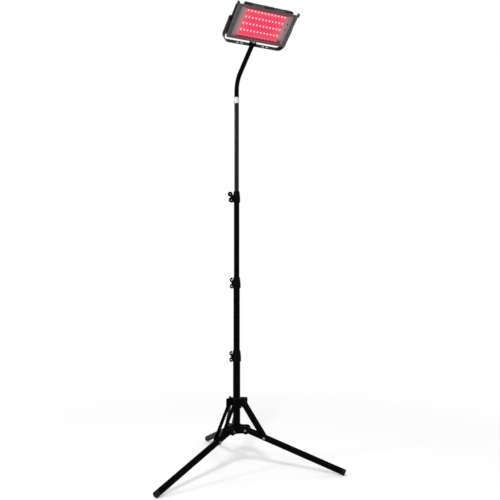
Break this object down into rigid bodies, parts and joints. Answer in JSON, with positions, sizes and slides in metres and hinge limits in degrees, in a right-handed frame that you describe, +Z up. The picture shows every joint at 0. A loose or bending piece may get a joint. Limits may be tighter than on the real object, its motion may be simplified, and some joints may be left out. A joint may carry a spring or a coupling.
{
  "type": "infrared heat therapy lamp",
  "caption": "Red and infrared LED lamp head in a tilting yoke, on a gooseneck, a telescopic column with wing-knob clamps and a folding tripod.",
  "frame": {"origin": "on the floor, in the middle of the box that holds the whole lamp", "axes": "+Z up along the column; +X out along the first leg; the wing knobs point between -X and -Y; the lamp leans towards -Y and +X"},
  "size_m": [0.568, 0.653, 1.5316],
  "materials": {
    "tube_black": "satin",
    "leg_black": "satin",
    "clamp_black": "matte",
    "zinc_steel": "satin",
    "foot_rubber": "matte",
    "guide_plastic": "matte",
    "ferrule_silver": "satin",
    "neck_black": "satin",
    "head_black": "satin",
    "reflector_grey": "satin",
    "board_red": "lit",
    "led_lens": "lit",
    "led_infrared": "unlit to the eye"
  },
  "bodies": {
    "base": {"lower_hub": "clamp_black", "hinge_bolts": "zinc_steel", "bottom_tube": "tube_black", "base_plug": "guide_plastic", "lower_clamp": "clamp_black"},
    "lower_knob": {"lower_clamp_knob": "clamp_black"},
    "second_section": {"second_tube": "tube_black", "second_guide_ring": "guide_plastic", "middle_clamp": "clamp_black"},
    "middle_knob": {"middle_clamp_knob": "clamp_black"},
    "third_section": {"third_tube": "tube_black", "third_guide_ring": "guide_plastic", "upper_clamp": "clamp_black"},
    "upper_knob": {"upper_clamp_knob": "clamp_black"},
    "top_section": {"top_tube": "tube_black", "top_guide_ring": "guide_plastic", "neck_ferrule": "ferrule_silver"},
    "neck_0": {"neck_base": "neck_black"},
    "neck_1": {"neck_link_1": "neck_black"},
    "neck_2": {"neck_link_2": "neck_black"},
    "neck_3": {"neck_link_3": "neck_black"},
    "neck_4": {"neck_link_4": "neck_black"},
    "neck_5": {"neck_link_5": "neck_black"},
    "neck_6": {"neck_tip": "neck_black", "swivel_nut": "clamp_black", "swivel_bolt": "zinc_steel"},
    "yoke": {"yoke": "head_black"},
    "head": {"housing": "head_black", "bezel": "head_black", "reflector": "reflector_grey", "led_board": "board_red", "red_leds": "led_lens", "infrared_leds": "led_infrared", "tilt_screws": "head_black", "driver_box": "clamp_black", "cable_gland": "clamp_black"},
    "rocker": {"rocker_switch": "clamp_black"},
    "collar": {"sliding_collar": "clamp_black", "collar_bush": "guide_plastic", "collar_rivets": "zinc_steel"},
    "collar_screw": {"collar_knob": "clamp_black"},
    "leg_1": {"leg_tube_1": "leg_black", "leg_plug_1": "guide_plastic", "leg_pin_1": "zinc_steel", "leg_foot_1": "foot_rubber"},
    "strut_1": {"strut_straps_1": "leg_black", "strut_rivets_1": "zinc_steel"},
    "leg_2": {"leg_tube_2": "leg_black", "leg_plug_2": "guide_plastic", "leg_pin_2": "zinc_steel", "leg_foot_2": "foot_rubber"},
    "strut_2": {"strut_straps_2": "leg_black", "strut_rivets_2": "zinc_steel"},
    "leg_3": {"leg_tube_3": "leg_black", "leg_plug_3": "guide_plastic", "leg_pin_3": "zinc_steel", "leg_foot_3": "foot_rubber"},
    "strut_3": {"strut_straps_3": "leg_black", "strut_rivets_3": "zinc_steel"}
  },
  "joints": [
    {"name": "leg_1_fold", "type": "hinge", "parent": "base", "child": "leg_1", "pos_m": [-0.05674, 0, 0.13778], "axis": [0, -1, 0], "range_deg": [0, 110.9]},
    {"name": "leg_2_fold", "type": "hinge", "parent": "base", "child": "leg_2", "pos_m": [-0.10624, 0.02858, 0.13778], "axis": [0.866, 0.5, 0], "range_deg": [0, 110.9]},
    {"name": "leg_3_fold", "type": "hinge", "parent": "base", "child": "leg_3", "pos_m": [-0.10624, -0.02858, 0.13778], "axis": [-0.866, 0.5, 0], "range_deg": [0, 110.9]},
    {"name": "collar_slide", "type": "slide", "parent": "base", "child": "collar", "axis": [0, 0, 1], "range_m": [0, 0.11454]},
    {"name": "strut_1_turn", "type": "hinge", "parent": "collar", "child": "strut_1", "pos_m": [-0.06874, 0, 0.23498], "axis": [0, -1, 0], "range_deg": [-27.47, 0]},
    {"name": "strut_2_turn", "type": "hinge", "parent": "collar", "child": "strut_2", "pos_m": [-0.10024, 0.01819, 0.23498], "axis": [0.866, 0.5, 0], "range_deg": [-27.47, 0]},
    {"name": "strut_3_turn", "type": "hinge", "parent": "collar", "child": "strut_3", "pos_m": [-0.10024, -0.01819, 0.23498], "axis": [-0.866, 0.5, 0], "range_deg": [-27.47, 0]},
    {"name": "collar_knob_turn", "type": "hinge", "parent": "collar", "child": "collar_screw", "pos_m": [-0.07974, 0.01732, 0.21998], "axis": [0.5, 0.866, 0], "range_deg": [0, 360]},
    {"name": "lower_knob_turn", "type": "hinge", "parent": "base", "child": "lower_knob", "pos_m": [-0.10706, -0.01, 0.38798], "axis": [-0.866, -0.5, 0], "range_deg": [0, 360]},
    {"name": "middle_knob_turn", "type": "hinge", "parent": "second_section", "child": "middle_knob", "pos_m": [-0.10706, -0.01, 0.63998], "axis": [-0.866, -0.5, 0], "range_deg": [0, 360]},
    {"name": "upper_knob_turn", "type": "hinge", "parent": "third_section", "child": "upper_knob", "pos_m": [-0.10706, -0.01, 0.93498], "axis": [-0.866, -0.5, 0], "range_deg": [0, 360]},
    {"name": "second_section_slide", "type": "slide", "parent": "base", "child": "second_section", "axis": [0, 0, 1], "range_m": [-0.204, 0]},
    {"name": "third_section_slide", "type": "slide", "parent": "second_section", "child": "third_section", "axis": [0, 0, 1], "range_m": [-0.253, 0]},
    {"name": "top_section_slide", "type": "slide", "parent": "third_section", "child": "top_section", "axis": [0, 0, 1], "range_m": [-0.296, 0]},
    {"name": "neck_turn", "type": "hinge", "parent": "top_section", "child": "neck_0", "pos_m": [-0.08974, 0, 1.27878], "axis": [0, 0, 1], "range_deg": [-170, 170]},
    {"name": "neck_bend_1", "type": "hinge", "parent": "neck_0", "child": "neck_1", "pos_m": [-0.08974, 0, 1.31032], "axis": [0.7455, 0.6665, 0], "range_deg": [-15.3, 10]},
    {"name": "neck_bend_2", "type": "hinge", "parent": "neck_1", "child": "neck_2", "pos_m": [-0.08582, -0.00438, 1.33161], "axis": [0.7455, 0.6665, 0], "range_deg": [-15.3, 10]},
    {"name": "neck_bend_3", "type": "hinge", "parent": "neck_2", "child": "neck_3", "pos_m": [-0.07827, -0.01283, 1.35057], "axis": [0.7455, 0.6665, 0], "range_deg": [-15.3, 10]},
    {"name": "neck_reach_1", "type": "hinge", "parent": "neck_3", "child": "neck_4", "pos_m": [-0.06381, -0.029, 1.3713], "axis": [0.7455, 0.6665, 0], "range_deg": [-14, 14]},
    {"name": "neck_reach_2", "type": "hinge", "parent": "neck_4", "child": "neck_5", "pos_m": [-0.04936, -0.04517, 1.39202], "axis": [0.7455, 0.6665, 0], "range_deg": [-14, 14]},
    {"name": "neck_reach_3", "type": "hinge", "parent": "neck_5", "child": "neck_6", "pos_m": [-0.0349, -0.06134, 1.41275], "axis": [0.7455, 0.6665, 0], "range_deg": [-14, 14]},
    {"name": "yoke_turn", "type": "hinge", "parent": "neck_6", "child": "yoke", "pos_m": [-0.02143, -0.0764, 1.43206], "axis": [0.4819, -0.539, 0.6909], "range_deg": [-170, 170]},
    {"name": "head_tilt", "type": "hinge", "parent": "yoke", "child": "head", "pos_m": [0.01639, -0.1187, 1.48629], "axis": [0.7455, 0.6665, 0], "range_deg": [-80, 80]},
    {"name": "switch_rock", "type": "hinge", "parent": "head", "child": "rocker", "pos_m": [0.01001, -0.07555, 1.4833], "axis": [0.4605, -0.515, -0.723], "range_deg": [-16, 0]}
  ],
  "couplings": [
    {"joint": "leg_2_fold", "follows": "leg_1_fold", "ratio": 1},
    {"joint": "leg_3_fold", "follows": "leg_1_fold", "ratio": 1},
    {"joint": "collar_slide", "follows": "leg_1_fold", "m_per_rad": 0.058919},
    {"joint": "strut_1_turn", "follows": "leg_1_fold", "ratio": -0.24499},
    {"joint": "strut_2_turn", "follows": "leg_1_fold", "ratio": -0.24499},
    {"joint": "strut_3_turn", "follows": "leg_1_fold", "ratio": -0.24499},
    {"joint": "neck_bend_2", "follows": "neck_bend_1", "ratio": 1},
    {"joint": "neck_bend_3", "follows": "neck_bend_1", "ratio": 1},
    {"joint": "neck_reach_2", "follows": "neck_reach_1", "ratio": 1},
    {"joint": "neck_reach_3", "follows": "neck_reach_1", "ratio": 1}
  ]
}
